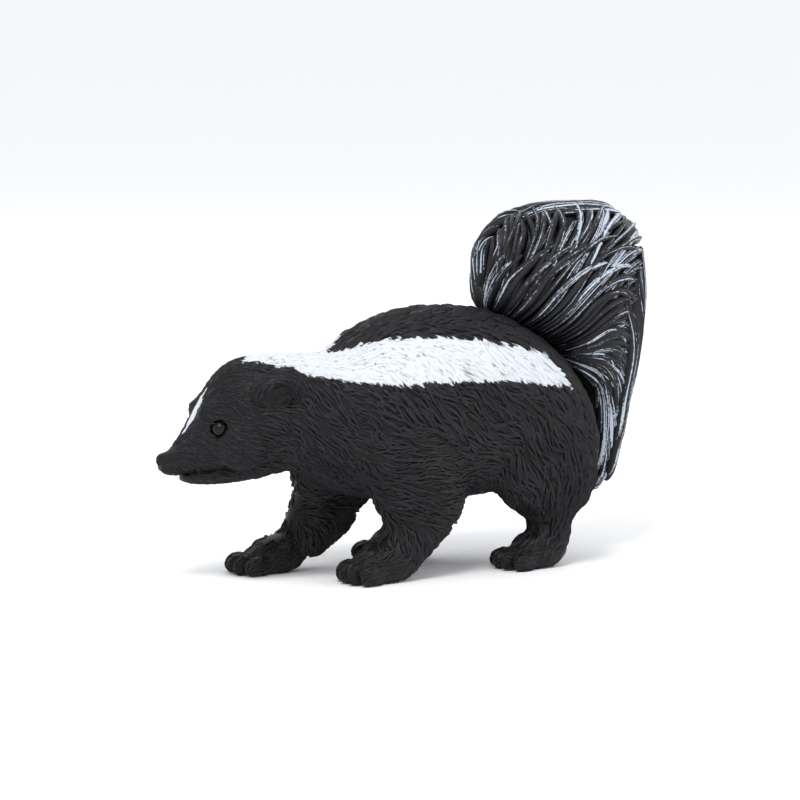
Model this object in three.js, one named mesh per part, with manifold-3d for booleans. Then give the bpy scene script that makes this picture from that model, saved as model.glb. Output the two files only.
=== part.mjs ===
// A moulded plastic figure of a striped skunk, walking with its tail up.
// Millimetres. +X is the way it faces, +Y its left side, +Z up, and the paws stand on Z = 0.
// The body, head, legs and tail are lofts through a few stations each, joined and then parted
// from one another by gaps as wide as a knife cut.
import * as THREE from "three";
import { mergeVertices } from "three/addons/utils/BufferGeometryUtils.js";
import Module from "manifold-3d";

const wasm = await Module();
wasm.setup();

// Driving sizes
const PART_GAP = 0.3; // between neighbouring pieces
const NECK_X = 21.6; // plane where the head meets the neck
const SHOULDER_X = 12.5; // plane where the neck meets the torso
const HEAD_TURN = -19; // degrees, towards its right side
const EYE = { x: 31.6, y: 5.5, z: 24.2, r: 1.2 };
const TAIL_RINGS = 24;
const TAIL_SIDES = 24;

// Stations of the trunk, from the head to the rump: x, lowest z, highest z, half width
const TRUNK = [
  [23.6, 19.4, 31.5, 5.6],
  [22.6, 17.6, 34.3, 7.6],
  [18, 16.2, 34.5, 9.2],
  [12, 13.4, 34.6, 11.2],
  [6.5, 11.8, 37.4, 12.6],
  [0, 11.2, 39.6, 13.2],
  [-6, 10.8, 40.1, 13.6],
  [-13, 11.2, 39.5, 13.7],
  [-19, 11.9, 37.4, 13.4],
  [-24, 12.4, 34, 12.2],
  [-28, 13.2, 29.6, 9.7],
  [-30.6, 15.2, 24.6, 6],
  [-31.4, 18, 21.6, 1.6],
];

// Stations of the head, from the neck to the nose
const HEAD = [
  [NECK_X, 18.2, 33.8, 7.7],
  [24.5, 17.8, 34.4, 8.5],
  [27.4, 17.3, 34.1, 8],
  [30, 17, 32.9, 7],
  [32.4, 16.9, 30.2, 5.9],
  [34.6, 16.8, 26.3, 4.4],
  [36.4, 16.7, 23, 3.2],
  [38.1, 16.9, 20.9, 2.4],
  [39.3, 17.7, 20.1, 1.4],
  [39.8, 18.5, 19.4, 0.5],
];

// Stations of the lower jaw
const JAW = [
  [NECK_X + 0.4, 17, 20.6, 4.2],
  [26, 15.8, 20, 5],
  [30.5, 15.2, 18.8, 4],
  [34.3, 15.2, 17.8, 2.7],
  [36.2, 15.6, 17.2, 1.7],
  [37, 16.1, 16.7, 0.6],
];

// Stations of a leg from its top to its ankle: x, y out from the middle, z, half depth, half width
const LEGS = {
  leg_front_left: {
    side: 1,
    limb: [
      [4.4, 4.4, 28, 3, 2.4],
      [4.4, 6, 26, 6.8, 4.6],
      [4, 7.6, 20, 8.6, 5.8],
      [2, 8.2, 15, 8.2, 5.4],
      [1.7, 8.4, 11.4, 7.3, 4.9],
      [1.7, 8.4, 8.4, 6, 4],
      [3.9, 8.4, 5, 4.6, 3.7],
      [6, 8.4, 1.8, 3, 2.8],
    ],
    paw: { heel: 3.4, toe: 15.4, y: 8.4, half: 4.1, high: 6.2, turn: 3 },
  },
  leg_front_right: {
    side: -1,
    limb: [
      [9, 4.2, 27, 3, 2.4],
      [8.8, 5.6, 25, 6.6, 4.4],
      [8.6, 6.6, 20, 7.4, 5.4],
      [7.8, 7.4, 15, 6.8, 4.8],
      [7.5, 7.8, 11.5, 6.6, 4.4],
      [9, 8, 9, 6.1, 4.1],
      [10.6, 8, 6, 5.6, 3.8],
      [14.2, 8, 2.4, 4, 3.2],
    ],
    paw: { heel: 13, toe: 25.2, y: 8, half: 4.1, high: 5.4, turn: 2 },
  },
  leg_hind_left: {
    side: 1,
    limb: [
      [-18.5, 4.8, 30, 4, 3],
      [-18.8, 6.2, 27.5, 8.2, 5],
      [-19.8, 7.4, 21, 10.2, 6],
      [-20.4, 8.2, 15.5, 9.4, 5.5],
      [-21.2, 8.4, 11, 7.4, 4.6],
      [-21.8, 8.4, 7.4, 3.8, 3.2],
      [-21.6, 8.4, 4.6, 3.1, 3],
      [-20.8, 8.4, 1.8, 2.8, 2.7],
    ],
    paw: { heel: -24, toe: -12.2, y: 8.4, half: 4, high: 5.4, turn: 2 },
  },
  leg_hind_right: {
    side: -1,
    limb: [
      [-19, 4.8, 30, 4, 3],
      [-19.4, 6, 27.5, 8.2, 5],
      [-18.6, 7, 21, 9, 5.8],
      [-15.6, 7.6, 15.5, 7.6, 5.2],
      [-11.4, 8, 11, 5.6, 4.4],
      [-8.4, 8, 7.4, 3.9, 3.4],
      [-7, 8, 4.6, 3.3, 3],
      [-6.4, 8, 1.8, 2.9, 2.8],
    ],
    paw: { heel: -8.6, toe: 2.6, y: 8, half: 4, high: 5.3, turn: 3 },
  },
};

// Stations of the tail from its tip to its crown: z, x at the back, x at the front, half width
const TAIL = [
  [9.8, -36, -34.2, 0.8],
  [11.6, -37.2, -32.8, 2],
  [17, -38.2, -32.2, 3.3],
  [24, -39.2, -30.8, 5.2],
  [30, -40.4, -27, 7.6],
  [35, -41.4, -19.8, 9.4],
  [40, -42, -15.8, 10.2],
  [45, -42.4, -15.2, 10.2],
  [49.5, -42, -15.9, 9],
  [53, -39.8, -19.2, 6.6],
  [55.1, -35, -25, 2],
];

// Maths used all over

const radians = THREE.MathUtils.degToRad;

// Each column of the rows, followed smoothly to the place t, from 0 to 1
function rowAt(rows, t) {
  const place = Math.min(Math.max(t, 0), 1) * (rows.length - 1);
  const at = Math.min(Math.floor(place), rows.length - 2);
  const f = place - at;
  const pick = (k) => rows[Math.min(Math.max(k, 0), rows.length - 1)];
  const [a, b, c, d] = [pick(at - 1), pick(at), pick(at + 1), pick(at + 2)];
  return b.map((value, k) => {
    const slopeIn = (c[k] - a[k]) / 2;
    const slopeOut = (d[k] - value) / 2;
    const rise = c[k] - value;
    const curve = (slopeIn - rise) * (1 - f) - (slopeOut - rise) * f;
    return value + rise * f + f * (1 - f) * curve;
  });
}

// Solids

// A closed solid of a geometry, its faces turned out
function solidOf(geometry) {
  const bare = new THREE.BufferGeometry();
  bare.setAttribute("position", geometry.getAttribute("position"));
  if (geometry.index) bare.setIndex(geometry.index);
  const merged = mergeVertices(bare, 1e-4);
  const triVerts = new Uint32Array(merged.index.array);
  const vertProperties = merged.attributes.position.array;
  const made = new wasm.Manifold(new wasm.Mesh({ numProp: 3, vertProperties, triVerts }));
  if (made.volume() > 0) return made;
  for (let i = 0; i < triVerts.length; i += 3) {
    [triVerts[i + 1], triVerts[i + 2]] = [triVerts[i + 2], triVerts[i + 1]];
  }
  return new wasm.Manifold(new wasm.Mesh({ numProp: 3, vertProperties, triVerts }));
}

// A skin through rings of equally many points, closed by a point at the middle of each end
function loft(rings) {
  const sides = rings[0].length;
  const points = rings.flat();
  const middle = (ring) =>
    ring.reduce((sum, p) => sum.add(p), new THREE.Vector3()).divideScalar(sides);
  points.push(middle(rings[0]), middle(rings[rings.length - 1]));
  const [first, last] = [points.length - 2, points.length - 1];
  const faces = [];
  const top = (rings.length - 1) * sides;
  for (let s = 0; s < sides; s++) {
    const next = (s + 1) % sides;
    faces.push(first, next, s, last, top + s, top + next);
    for (let r = 0; r < rings.length - 1; r++) {
      const [a, b] = [r * sides + s, r * sides + next];
      faces.push(a, b, b + sides, a, b + sides, a + sides);
    }
  }
  return new THREE.BufferGeometry().setFromPoints(points).setIndex(faces);
}

// Points round an oval; roundness over 1 makes it squarer
function oval(sides, roundness, place) {
  const ring = [];
  for (let s = 0; s < sides; s++) {
    const angle = (2 * Math.PI * s) / sides;
    const soft = (v) => Math.sign(v) * Math.abs(v) ** (1 / roundness);
    ring.push(place(soft(Math.cos(angle)), soft(Math.sin(angle))));
  }
  return ring;
}

// A trunk, head or jaw: upright sections along X
function along(rows, count, sides, grow = 0, roundness = 1.12) {
  const rings = [];
  const outward = Math.sign(rows[0][0] - rows[rows.length - 1][0]);
  for (let i = 0; i < count; i++) {
    const t = i / (count - 1);
    const [x, low, high, half] = rowAt(rows, t);
    const push = grow * outward * (1 - 2 * t); // the ends move out as well
    rings.push(
      oval(sides, roundness, (u, v) => {
        const z = (low + high) / 2 + ((high - low) / 2 + grow) * v;
        return new THREE.Vector3(x + push, (half + grow) * u, z);
      }),
    );
  }
  return solidOf(loft(rings));
}

// A limb: level sections from its top down
function limb(rows, side, count, sides, grow = 0) {
  const rings = [];
  for (let i = 0; i < count; i++) {
    const [x, y, z, deep, wide] = rowAt(rows, i / (count - 1));
    rings.push(
      oval(sides, 1, (u, v) => {
        return new THREE.Vector3(x + (deep + grow) * u, side * (y + (wide + grow) * v), z);
      }),
    );
  }
  return solidOf(loft(rings));
}

// An egg shape, turned by angles in degrees
function egg(x, y, z, rx, ry, rz, turns = [0, 0, 0], sides = 12) {
  const shape = new THREE.SphereGeometry(1, sides, Math.round(sides * 0.6));
  shape.scale(rx, ry, rz);
  shape.applyMatrix4(
    new THREE.Matrix4()
      .makeRotationFromEuler(new THREE.Euler(...turns.map(radians)))
      .setPosition(x, y, z),
  );
  return solidOf(shape);
}

const boxSolid = (x0, x1, y0, y1, z0, z1) =>
  solidOf(
    new THREE.BoxGeometry(x1 - x0, y1 - y0, z1 - z0).translate(
      (x0 + x1) / 2,
      (y0 + y1) / 2,
      (z0 + z1) / 2,
    ),
  );

// All that lies in front of a plane across the body, and all behind it
const frontOf = (x) => boxSolid(x, 90, -40, 40, -10, 90);
const backOf = (x) => boxSolid(-90, x, -40, 40, -10, 90);

const joined = (solids) => solids.reduce((all, one) => all.add(one));

// The largest closed piece of a solid, with no scrap
const largest = (solid) =>
  solid.decompose().sort((a, b) => b.volume() - a.volume())[0];

// The head turns about the upright line where it meets the neck
const headTurn = new THREE.Matrix4()
  .makeTranslation(NECK_X, 0, 0)
  .multiply(new THREE.Matrix4().makeRotationZ(radians(HEAD_TURN)))
  .multiply(new THREE.Matrix4().makeTranslation(-NECK_X, 0, 0));
const turned = (solid) => solid.transform(headTurn.elements);

// Legs

// A paw with four toes, its sole flat on the floor
function paw({ heel, toe, y, half, high, turn }, side) {
  const long = toe - heel;
  const pad = egg((heel + toe) / 2 - 0.06 * long, side * y, high * 0.36,
    long * 0.45, half * 0.92, high * 0.52, [0, 6, 0], 12);
  const instep = egg(heel + 0.36 * long, side * y, high * 0.58,
    long * 0.34, half * 0.78, high * 0.5, [0, 20, 0], 10);
  const toes = [-1.5, -0.5, 0.5, 1.5].map((n) => {
    const back = 0.035 * long * n * n;
    return egg(toe - 0.17 * long - back, side * (y + n * half * 0.5), high * 0.24,
      long * 0.2, half * 0.3, high * 0.34, [0, 0, side * n * 7], 8);
  });
  const made = joined([pad, instep, ...toes]);
  const pivot = new THREE.Matrix4().makeTranslation(heel, side * y, 0);
  const spin = new THREE.Matrix4().makeRotationZ(radians(side * turn));
  const back = new THREE.Matrix4().makeTranslation(-heel, -side * y, 0);
  return made.transform(pivot.multiply(spin).multiply(back).elements);
}

const floor = boxSolid(-80, 80, -40, 40, -30, 0);
const trunkGrown = along(TRUNK, 34, 28, PART_GAP);

function leg({ side, limb: rows, paw: foot }) {
  const whole = limb(rows, side, 13, 14).add(paw(foot, side));
  return largest(whole.subtract(floor).subtract(trunkGrown));
}

// Head, with the brows, lips and nose in it, and sockets for the eyes

const both = (make) => joined([make(1), make(-1)]);
const eyeBall = (side, grow = 0) =>
  egg(EYE.x, side * EYE.y, EYE.z, EYE.r + grow, EYE.r + grow, EYE.r + grow, [0, 0, 0], 14);

function headSolid(grow = 0) {
  return joined([
    along(HEAD, 22, 22, grow, 1.05),
    both((s) => egg(32.6, s * 4, 26.7, 2 + grow, 1.2 + grow, 0.9 + grow, [0, 40, 0], 10)),
    both((s) => egg(37.7, s * 1.1, 17.8, 1.8 + grow, 1.5 + grow, 1.1 + grow, [0, 0, 0], 10)),
    egg(39.2, 0, 19.3, 1.2 + grow, 1.5 + grow, 1.2 + grow, [0, 20, 0], 12),
  ]);
}

function head() {
  const nostrils = both((s) => egg(40, s * 0.85, 19.2, 0.6, 0.35, 0.35, [0, 0, s * 20], 8));
  const sockets = both((s) => eyeBall(s, PART_GAP));
  const neckSide = backOf(NECK_X + PART_GAP / 2);
  return largest(headSolid().subtract(nostrils).subtract(sockets).subtract(neckSide));
}

function jaw() {
  const neckSide = backOf(NECK_X + PART_GAP / 2);
  return largest(along(JAW, 12, 16, 0, 1).subtract(headSolid(PART_GAP)).subtract(neckSide));
}

// A low rounded ear: a flap hollowed into a cup that opens out and forward
function ear(side) {
  const lean = [side * 30, 24, side * -8];
  const flap = egg(23.4, side * 7.6, 30.6, 4.3, 1.9, 2.6, lean, 14);
  const cup = egg(24, side * 9.1, 29.6, 2.6, 1.3, 1.35, lean, 12);
  const whole = turned(flap.subtract(cup).subtract(headSolid(PART_GAP)));
  return largest(whole.subtract(trunkGrown));
}

// Tail

// The tail as one smooth form out to its tips
function tail() {
  const rings = [];
  for (let i = 0; i < TAIL_RINGS; i++) {
    const [z, back, front, wide] = rowAt(TAIL, i / (TAIL_RINGS - 1));
    const [x, deep] = [(back + front) / 2, (front - back) / 2];
    rings.push(oval(TAIL_SIDES, 1, (u, v) => new THREE.Vector3(x + deep * u, wide * v, z)));
  }
  return largest(solidOf(loft(rings)).subtract(trunkGrown).subtract(floor));
}

// Finishes

const black = new THREE.MeshStandardMaterial({ color: 0x121114, roughness: 0.5, metalness: 0 });
const tailFinish = new THREE.MeshStandardMaterial({ color: 0x1b1b20, roughness: 0.5, metalness: 0 });
const gloss = new THREE.MeshStandardMaterial({ color: 0x040404, roughness: 0.12, metalness: 0 });

const figure = new THREE.Group();

function place(name, solid, material) {
  const { numProp, vertProperties, triVerts } = solid.getMesh();
  const spots = new Float32Array((vertProperties.length / numProp) * 3);
  for (let i = 0; i < spots.length / 3; i++) {
    spots.set(vertProperties.subarray(i * numProp, i * numProp + 3), i * 3);
  }
  const geometry = new THREE.BufferGeometry();
  geometry.setAttribute("position", new THREE.BufferAttribute(spots, 3));
  geometry.setIndex(new THREE.BufferAttribute(new Uint32Array(triVerts), 1));
  geometry.computeVertexNormals();
  const mesh = new THREE.Mesh(geometry, material);
  mesh.name = name;
  figure.add(mesh);
}

const trunk = along(TRUNK, 34, 28);

place("head", turned(head()), black);
place("jaw", turned(jaw()), black);
for (const [word, side] of [["left", 1], ["right", -1]]) {
  place("ear_" + word, ear(side), black);
  place("eye_" + word, turned(eyeBall(side)), gloss);
}
const headSide = turned(frontOf(NECK_X - PART_GAP / 2));
place("neck", largest(trunk.subtract(headSide).subtract(backOf(SHOULDER_X + PART_GAP / 2))), black);
place("torso", trunk.subtract(frontOf(SHOULDER_X - PART_GAP / 2)), black);
for (const [name, sizes] of Object.entries(LEGS)) place(name, leg(sizes), black);
place("tail", tail(), tailFinish);

// The frame's origin is the middle of the figure's underside
const reach = new THREE.Box3().setFromObject(figure);
figure.position.set(-(reach.min.x + reach.max.x) / 2, -(reach.min.y + reach.max.y) / 2, -reach.min.z);

export default figure;
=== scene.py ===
"""A moulded plastic figure of a striped skunk, with its carved coat and painted stripe.

The forms are worked out in millimetres, in the frame in which the figure was drawn, and are moved
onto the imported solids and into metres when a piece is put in. One skin covers the flesh, short carved
tufts lie over the body and long strands over the tail, and all three carry the same paint.
"""

import logging
import math
from dataclasses import dataclass, field
from enum import Enum
from typing import Callable, Union

import bpy
import numpy as np
from mathutils import Matrix, Vector


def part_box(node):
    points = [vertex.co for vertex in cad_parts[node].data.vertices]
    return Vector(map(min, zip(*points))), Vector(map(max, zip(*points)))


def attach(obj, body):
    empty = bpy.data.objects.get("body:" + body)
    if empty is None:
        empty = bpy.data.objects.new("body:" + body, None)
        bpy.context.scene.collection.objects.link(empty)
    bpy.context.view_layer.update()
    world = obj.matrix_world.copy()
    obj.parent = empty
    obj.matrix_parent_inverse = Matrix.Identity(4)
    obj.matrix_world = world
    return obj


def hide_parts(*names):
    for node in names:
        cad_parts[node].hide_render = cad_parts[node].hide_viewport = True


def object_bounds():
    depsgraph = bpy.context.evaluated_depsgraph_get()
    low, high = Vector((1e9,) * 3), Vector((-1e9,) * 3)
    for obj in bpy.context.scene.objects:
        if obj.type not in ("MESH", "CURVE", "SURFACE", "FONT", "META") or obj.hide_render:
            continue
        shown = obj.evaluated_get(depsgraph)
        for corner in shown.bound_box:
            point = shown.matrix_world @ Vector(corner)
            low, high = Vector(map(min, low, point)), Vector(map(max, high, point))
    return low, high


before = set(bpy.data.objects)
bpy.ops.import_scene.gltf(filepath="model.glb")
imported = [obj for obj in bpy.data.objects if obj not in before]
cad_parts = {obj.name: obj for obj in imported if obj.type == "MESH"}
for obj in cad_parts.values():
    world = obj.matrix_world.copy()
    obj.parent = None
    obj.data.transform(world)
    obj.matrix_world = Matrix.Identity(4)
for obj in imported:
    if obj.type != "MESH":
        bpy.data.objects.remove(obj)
cad_low, cad_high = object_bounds()

Array = np.ndarray
Rows = tuple[tuple[float, ...], ...]
Colour = tuple[float, float, float, float]
Faces = Union[np.ndarray, list[list[int]]]
Value = Union[float, "Sum"]

log = logging.getLogger("skunk")

NECK_X = 21.6
HEAD_TURN = -19.0
EYE = (31.6, 5.5, 24.2)
EYE_RADIUS = 1.2
SKIN_DEPTH = 0.16
TAIL_CORE_DEPTH = 1.0
EAR_CUP = (23.4, 9.3, 29.2)
PATCH_HALF = 0.0015
CROWN_HALF = 4.2
CROWN_TOP = 54.4
SEED = 11

# The axis of each part, in the order of Part: its X, its distance out along Y and, if it is level, its height
PART_AXES = (
    (0.0, 0.0, 24.0),
    (0.0, 0.0, 24.0),
    (0.0, 0.0, 24.0),
    (4.0, 7.5, 0.0),
    (-20.0, 8.5, 0.0),
    (0.0, 0.0, 3.0),
    (-30.0, 0.0, 0.0),
)

# The dry brush on the tail: white everywhere, then how much more each adds and where it begins and ends
BRUSH_LEAST = 0.22
BRUSH_BACK = (0.3, 18.0, 36.0)
BRUSH_TOP = (0.34, 37.0, 46.0)
BRUSH_HANGING = (0.38, -33.0, -22.0)


class Side(Enum):
    """A side of the figure, by its sign along Y."""

    LEFT = 1
    RIGHT = -1


class Part(Enum):
    """The forms that a point of the skin may lie on."""

    TRUNK = 0
    HEAD = 1
    EAR = 2
    FRONT_LEG = 3
    HIND_LEG = 4
    PAW = 5
    TAIL = 6


# Maths on whole arrays


def smooth(value: Array, low: float, high: float) -> Array:
    """Rises from 0 at low to 1 at high along 3 t squared minus 2 t cubed; high may be under low."""
    t = np.clip((value - low) / (high - low), 0.0, 1.0)
    return t * t * (3.0 - 2.0 * t)


def unit(vectors: Array) -> Array:
    """Each row divided by its own length."""
    return vectors / np.maximum(np.linalg.norm(vectors, axis=-1, keepdims=True), 1e-9)


def merge(a: Array, b: Array, fillet: float) -> Array:
    """Joins two forms: the smaller distance, with a fillet where the two are alike."""
    h = np.clip(0.5 + 0.5 * (b - a) / fillet, 0.0, 1.0)
    return b * (1.0 - h) + a * h - fillet * h * (1.0 - h)


def carve(a: Array, b: Array, fillet: float) -> Array:
    """Cuts form b out of form a: minus the join of the one's outside with the other's inside."""
    return -merge(-a, b, fillet)


def follow(rows: Rows, t: Array) -> Array:
    """Each column of the rows at places t from 0 to 1, on a cubic whose slope at a row is half the
    difference of its neighbours."""
    table = np.asarray(rows, dtype=float)
    last = len(table) - 1
    place = np.clip(t, 0.0, 1.0) * last
    at = np.minimum(place.astype(int), last - 1)
    f = (place - at)[..., None]
    a, b, c, d = (table[np.clip(at + k, 0, last)] for k in (-1, 0, 1, 2))
    rise = c - b
    curve = ((c - a) / 2 - rise) * (1 - f) - ((d - b) / 2 - rise) * f
    return b + rise * f + f * (1 - f) * curve


def turn_about(axis: int, degrees: float) -> Array:
    """The matrix of a turn about one axis."""
    c, s = math.cos(math.radians(degrees)), math.sin(math.radians(degrees))
    i, j = (axis + 1) % 3, (axis + 2) % 3
    made = np.eye(3)
    made[i, i], made[i, j], made[j, i], made[j, j] = c, -s, s, c
    return made


# Forms, each a distance that is negative inside


@dataclass(frozen=True)
class Egg:
    """An ellipsoid, turned about X, then Y, then Z of its own axes."""

    centre: tuple[float, float, float]
    radii: tuple[float, float, float]
    turns: tuple[float, float, float] = (0.0, 0.0, 0.0)

    def distance(self, p: Array) -> Array:
        """Length of p over the radii, k0, and over their squares, k1: k0 (k0 - 1) / k1."""
        turn = turn_about(0, self.turns[0]) @ turn_about(1, self.turns[1]) @ turn_about(2, self.turns[2])
        local = (p - np.array(self.centre)) @ turn / np.array(self.radii)
        k0 = np.linalg.norm(local, axis=-1)
        k1 = np.linalg.norm(local / np.array(self.radii), axis=-1)
        return k0 * (k0 - 1.0) / np.maximum(k1, 1e-6)


@dataclass(frozen=True)
class Bar:
    """A form of oval sections along one axis.

    Rows of an upright section along X hold x, its lowest and highest z, and its half width.
    Rows of a level section along Z hold x, y, z, its half depth and its half width.
    """

    rows: Rows
    level: bool = False
    power: float = 2.0

    def sections(self) -> Array:
        """Place along the axis, the two middles and the two half sizes, in order of place."""
        dense = follow(self.rows, np.linspace(0.0, 1.0, 400))
        if self.level:
            columns = [dense[:, 2], dense[:, 0], dense[:, 1], dense[:, 3], dense[:, 4]]
        else:
            middle, half = (dense[:, 1] + dense[:, 2]) / 2, (dense[:, 2] - dense[:, 1]) / 2
            columns = [dense[:, 0], np.zeros(len(dense)), middle, dense[:, 3], half]
        table = np.stack(columns, axis=1)
        return table[np.argsort(table[:, 0])]

    def distance(self, p: Array) -> Array:
        """How far r, the size of the oval through p against the section's own, is from 1, over r's slope
        in the section's plane; past an end it is at least the distance to that end."""
        table = self.sections()
        order = (2, 0, 1) if self.level else (0, 1, 2)
        along, first, second = (p[..., k] for k in order)
        m1, m2, h1, h2 = (np.interp(along, table[:, 0], table[:, k]) for k in (1, 2, 3, 4))
        h1, h2 = np.maximum(h1, 0.15), np.maximum(h2, 0.15)
        u, v = np.abs(first - m1) / h1, np.abs(second - m2) / h2
        r = (u**self.power + v**self.power) ** (1.0 / self.power)
        slope = np.hypot(u / h1, v / h2) / np.maximum(np.hypot(u, v), 1e-6)
        past = np.maximum(table[0, 0] - along, along - table[-1, 0])
        return np.maximum((r - 1.0) / np.maximum(slope, 1e-6), past)


@dataclass(frozen=True)
class Leg:
    """A limb with its paw: a pad, an instep and four toes."""

    part: Part
    side: Side
    limb: Rows
    heel: float
    toe: float
    out: float
    half: float
    high: float
    turn: float

    def eggs(self) -> tuple[list[Egg], list[Egg]]:
        """The pad and the instep, and then the toes, from the heel, the toe and the paw's half width and
        height."""
        s, long = self.side.value, self.toe - self.heel
        pad = Egg(
            ((self.heel + self.toe) / 2 - 0.06 * long, s * self.out, self.high * 0.36),
            (long * 0.45, self.half * 0.92, self.high * 0.52),
            (0.0, 6.0, 0.0),
        )
        instep = Egg(
            (self.heel + 0.36 * long, s * self.out, self.high * 0.58),
            (long * 0.34, self.half * 0.78, self.high * 0.5),
            (0.0, 20.0, 0.0),
        )
        toes = []
        for n in (-1.5, -0.5, 0.5, 1.5):
            x = self.toe - 0.17 * long - 0.035 * long * n * n
            y = s * (self.out + n * self.half * 0.5)
            radii = (long * 0.2, self.half * 0.29, self.high * 0.34)
            toes.append(Egg((x, y, self.high * 0.24), radii, (0.0, 0.0, s * n * 7.0)))
        return [pad, instep], toes

    def paw(self, p: Array) -> Array:
        """The eggs joined, turned about the heel and cut off at the floor."""
        pivot = np.array([self.heel, self.side.value * self.out, 0.0])
        local = (p - pivot) @ turn_about(2, self.side.value * self.turn) + pivot
        soft, toes = self.eggs()
        made = merge(soft[0].distance(local), soft[1].distance(local), 1.2)
        for toe in toes:
            made = merge(made, toe.distance(local), 0.6)
        return made

    def distance(self, p: Array) -> Array:
        """The limb joined to the paw, and nothing under the floor."""
        side = np.array([1.0, self.side.value, 1.0])
        limb = Bar(self.limb, level=True).distance(p * side)
        return np.maximum(merge(limb, self.paw(p), 1.0), -p[..., 2])


@dataclass
class Figure:
    """Every form of the figure, and the field that the skin follows."""

    trunk: Bar = Bar(
        (
            (23.6, 19.4, 31.5, 5.6),
            (22.6, 17.6, 34.3, 7.6),
            (18, 16.2, 34.5, 9.2),
            (12, 13.4, 34.6, 11.2),
            (6.5, 11.8, 37.4, 12.6),
            (0, 11.2, 39.6, 13.2),
            (-6, 10.8, 40.1, 13.6),
            (-13, 11.2, 39.5, 13.7),
            (-19, 11.9, 37.4, 13.4),
            (-24, 12.4, 34, 12.2),
            (-28, 13.2, 29.6, 9.7),
            (-30.6, 15.2, 24.6, 6),
            (-31.4, 18, 21.6, 1.6),
        ),
        power=2.24,
    )
    skull: Bar = Bar(
        (
            (NECK_X - 4, 20, 32, 6),
            (NECK_X, 18.2, 33.8, 7.7),
            (24.5, 17.8, 34.4, 8.5),
            (27.4, 17.3, 34.1, 8),
            (30, 17, 32.9, 7),
            (32.4, 16.9, 30.2, 5.9),
            (34.6, 16.8, 26.3, 4.4),
            (36.4, 16.7, 23, 3.2),
            (38.1, 16.9, 20.9, 2.4),
            (39.3, 17.7, 20.1, 1.4),
            (39.8, 18.5, 19.4, 0.5),
        ),
        power=2.1,
    )
    jaw: Bar = Bar(
        (
            (NECK_X + 0.4, 17, 20.6, 4.2),
            (26, 15.8, 20, 5),
            (30.5, 15.2, 18.8, 4),
            (34.3, 15.2, 17.8, 2.7),
            (36.2, 15.6, 17.2, 1.7),
            (37, 16.1, 16.7, 0.6),
        )
    )
    plume: Bar = Bar(
        (
            (-35.1, 0, 9.8, 0.9, 0.8),
            (-35, 0, 11.6, 2.2, 2),
            (-35.2, 0, 17, 3, 3.3),
            (-35, 0, 24, 4.2, 5.2),
            (-33.7, 0, 30, 6.7, 7.6),
            (-30.6, 0, 35, 10.8, 9.4),
            (-28.9, 0, 40, 13.1, 10.2),
            (-28.8, 0, 45, 13.6, 10.2),
            (-28.95, 0, 49.5, 13.05, 9),
            (-29.5, 0, 53, 10.3, 6.2),
            (-30, 0, 55.1, 4.4, 1.2),
        ),
        level=True,
    )
    legs: tuple[Leg, ...] = (
        Leg(
            Part.FRONT_LEG,
            Side.LEFT,
            (
                (4.4, 4.4, 28, 3, 2.4),
                (4.4, 6, 26, 6.8, 4.6),
                (4, 7.6, 20, 8.6, 5.8),
                (2, 8.2, 15, 8.2, 5.4),
                (1.7, 8.4, 11.4, 7.3, 4.9),
                (1.7, 8.4, 8.4, 6, 4),
                (3.9, 8.4, 5, 4.6, 3.7),
                (6, 8.4, 1.8, 3, 2.8),
            ),
            heel=3.4,
            toe=15.4,
            out=8.4,
            half=4.1,
            high=6.2,
            turn=3,
        ),
        Leg(
            Part.FRONT_LEG,
            Side.RIGHT,
            (
                (9, 4.2, 27, 3, 2.4),
                (8.8, 5.6, 25, 6.6, 4.4),
                (8.6, 6.6, 20, 7.4, 5.4),
                (7.8, 7.4, 15, 6.8, 4.8),
                (7.5, 7.8, 11.5, 6.6, 4.4),
                (9, 8, 9, 6.1, 4.1),
                (10.6, 8, 6, 5.6, 3.8),
                (14.2, 8, 2.4, 4, 3.2),
            ),
            heel=13,
            toe=25.2,
            out=8,
            half=4.1,
            high=5.4,
            turn=2,
        ),
        Leg(
            Part.HIND_LEG,
            Side.LEFT,
            (
                (-18.5, 4.8, 30, 4, 3),
                (-18.8, 6.2, 27.5, 8.2, 5),
                (-19.8, 7.4, 21, 10.2, 6),
                (-20.4, 8.2, 15.5, 9.4, 5.5),
                (-21.2, 8.4, 11, 7.4, 4.6),
                (-21.8, 8.4, 7.4, 3.8, 3.2),
                (-21.6, 8.4, 4.6, 3.1, 3),
                (-20.8, 8.4, 1.8, 2.8, 2.7),
            ),
            heel=-24,
            toe=-12.2,
            out=8.4,
            half=4,
            high=5.4,
            turn=2,
        ),
        Leg(
            Part.HIND_LEG,
            Side.RIGHT,
            (
                (-19, 4.8, 30, 4, 3),
                (-19.4, 6, 27.5, 8.2, 5),
                (-18.6, 7, 21, 9, 5.8),
                (-15.6, 7.6, 15.5, 7.6, 5.2),
                (-11.4, 8, 11, 5.6, 4.4),
                (-8.4, 8, 7.4, 3.9, 3.4),
                (-7, 8, 4.6, 3.3, 3),
                (-6.4, 8, 1.8, 2.9, 2.8),
            ),
            heel=-8.6,
            toe=2.6,
            out=8,
            half=4,
            high=5.3,
            turn=3,
        ),
    )

    def into_head(self, p: Array) -> Array:
        """Points turned back about the neck, into the frame in which the head looks straight on."""
        pivot = np.array([NECK_X, 0.0, 0.0])
        return (p - pivot) @ turn_about(2, HEAD_TURN) + pivot

    def from_head(self, p: Array) -> Array:
        """Points of the straight head turned to its right."""
        pivot = np.array([NECK_X, 0.0, 0.0])
        return (p - pivot) @ turn_about(2, HEAD_TURN).T + pivot

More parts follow.
